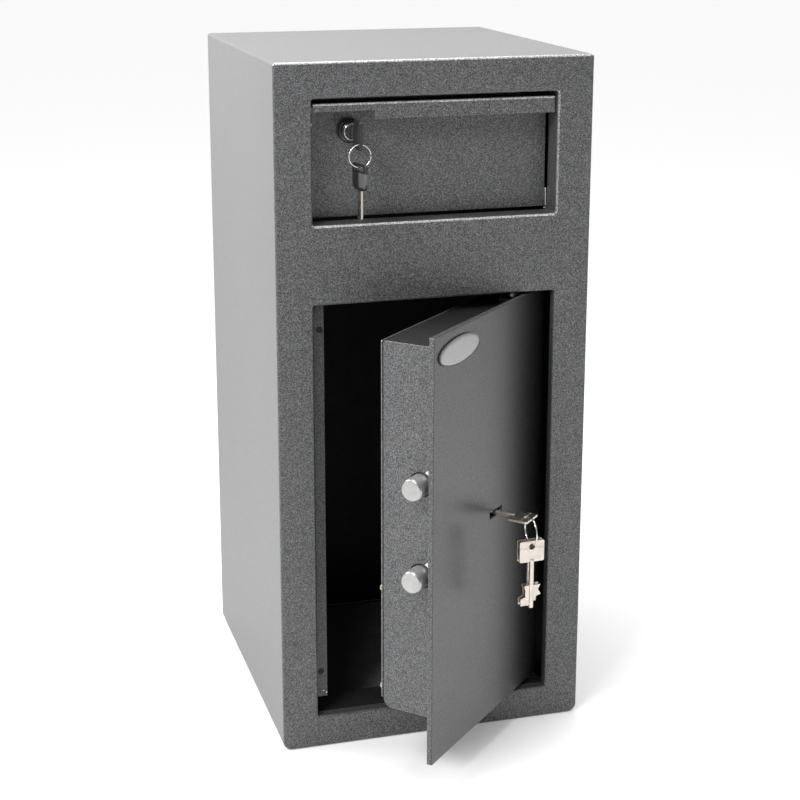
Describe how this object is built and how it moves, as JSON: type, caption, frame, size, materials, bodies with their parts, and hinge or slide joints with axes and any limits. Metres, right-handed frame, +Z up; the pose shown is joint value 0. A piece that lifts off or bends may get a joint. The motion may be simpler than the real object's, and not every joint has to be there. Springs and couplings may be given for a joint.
{
  "type": "drop safe with deposit drawer",
  "caption": "Steel drop safe with a key-locked deposit drawer over a key-operated hinged door, drawn with the door open and keys in both locks",
  "frame": {"origin": "centre of the underside of the cabinet, on the surface that it stands on", "axes": "+Z up, the front with drawer and door faces -Y, +X to the right seen from the front (the hinge side of the door)"},
  "size_m": [0.35, 0.5195, 0.765],
  "materials": {
    "hammertone": "dark graphite hammertone paint",
    "smooth_grey": "light grey paint, smooth",
    "inner_grey": "dark grey paint, matt",
    "zinc": "zinc plated",
    "yellow_zinc": "yellow passivated zinc",
    "steel": "turned bright steel",
    "nickel": "nickel plated",
    "black_metal": "black lacquer",
    "black_plastic": "black moulded plastic",
    "badge_silver": "satin silver, dark rim",
    "felt": "needled felt"
  },
  "bodies": {
    "safe_body": {"body_wrap": "smooth_grey", "back_plate": "smooth_grey", "front_frame": "hammertone", "strike_jamb": "hammertone", "door_sill": "hammertone", "lower_pivot_bush": "steel", "upper_pivot_bracket": "inner_grey", "chute_cheek_left": "inner_grey", "chute_cheek_right": "inner_grey", "chute_back": "inner_grey", "chute_apron": "inner_grey", "flap_rod": "steel", "flap_stop_bar": "zinc", "floor_mat": "felt", "slide_outer_left": "zinc", "slide_outer_right": "zinc", "drawer_cam_strike": "zinc"},
    "flap": {"sweeper_flap": "zinc"},
    "drawer": {"drawer_front_panel": "hammertone", "drawer_pull_lip": "hammertone", "drawer_tray": "zinc", "slide_inner_left": "zinc", "slide_inner_right": "zinc", "drawer_lock_housing": "black_metal", "drawer_lock_nut": "steel"},
    "drawer_lock": {"drawer_lock_plug": "steel", "drawer_lock_cam": "zinc", "cam_screw": "steel", "drawer_key_head": "black_plastic", "drawer_key_blade": "nickel"},
    "drawer_ring": {"drawer_key_ring": "steel"},
    "spare_key": {"spare_key_head": "black_plastic", "spare_key_blade": "nickel"},
    "door": {"door_plate": "hammertone", "badge_plate": "badge_silver", "door_pan": "hammertone", "door_back_cover": "hammertone", "cover_screw_1": "yellow_zinc", "cover_screw_2": "yellow_zinc", "cover_screw_3": "yellow_zinc", "cover_screw_4": "yellow_zinc", "hinge_lug_lower": "inner_grey", "hinge_lug_upper": "inner_grey", "pivot_pin_lower": "steel", "pivot_pin_upper": "steel", "bolt_guide_lower": "zinc", "bolt_guide_upper": "zinc", "door_lock_case": "zinc"},
    "boltwork": {"bolt_lower": "steel", "bolt_upper": "steel", "bolt_bar": "zinc"},
    "door_key": {"door_key": "nickel"},
    "door_ring": {"door_key_ring": "steel"},
    "front_hanging_key": {"hanging_key_front": "nickel"},
    "rear_hanging_key": {"hanging_key_rear": "nickel"}
  },
  "joints": [
    {"name": "door_hinge", "type": "hinge", "parent": "safe_body", "child": "door", "pos_m": [0.098, -0.159, 0.0365], "axis": [0, 0, 1], "range_deg": [-44.5, 55.5]},
    {"name": "boltwork_slide", "type": "slide", "parent": "door", "child": "boltwork", "axis": [0.7133, 0.7009, 0], "range_m": [0, 0.02]},
    {"name": "door_key_turn", "type": "hinge", "parent": "door", "child": "door_key", "pos_m": [0.08045, -0.25827, 0.277], "axis": [-0.7009, 0.7133, 0], "range_deg": [0, 90]},
    {"name": "door_ring_swivel", "type": "hinge", "parent": "door_key", "child": "door_ring", "pos_m": [0.08045, -0.25827, 0.277], "axis": [0, 0, 1], "range_deg": [-20, 20]},
    {"name": "front_hanging_key_swing", "type": "hinge", "parent": "door_ring", "child": "front_hanging_key", "pos_m": [0.08128, -0.26884, 0.25139], "axis": [0.0785, -0.9969, 0], "range_deg": [-15, 15]},
    {"name": "rear_hanging_key_swing", "type": "hinge", "parent": "door_ring", "child": "rear_hanging_key", "pos_m": [0.08128, -0.26884, 0.25139], "axis": [0.0785, -0.9969, 0], "range_deg": [-15, 15]},
    {"name": "drawer_slide", "type": "slide", "parent": "safe_body", "child": "drawer", "axis": [0, -1, 0], "range_m": [0, 0.165]},
    {"name": "drawer_key_turn", "type": "hinge", "parent": "drawer", "child": "drawer_lock", "pos_m": [-0.0885, -0.15, 0.69], "axis": [0, 1, 0], "range_deg": [0, 90]},
    {"name": "drawer_ring_swing", "type": "hinge", "parent": "drawer_lock", "child": "drawer_ring", "pos_m": [-0.0885, -0.202, 0.6809], "axis": [-1, 0, 0], "range_deg": [0, 25]},
    {"name": "spare_key_swing", "type": "hinge", "parent": "drawer_ring", "child": "spare_key", "pos_m": [-0.0885, -0.202, 0.6575], "axis": [-1, 0, 0], "range_deg": [0, 20]},
    {"name": "flap_swing", "type": "hinge", "parent": "safe_body", "child": "flap", "pos_m": [0, -0.11, 0.724], "axis": [1, 0, 0], "range_deg": [0, 70]}
  ],
  "couplings": [
    {"joint": "door_key_turn", "follows": "boltwork_slide", "rad_per_m": 78.54}
  ]
}
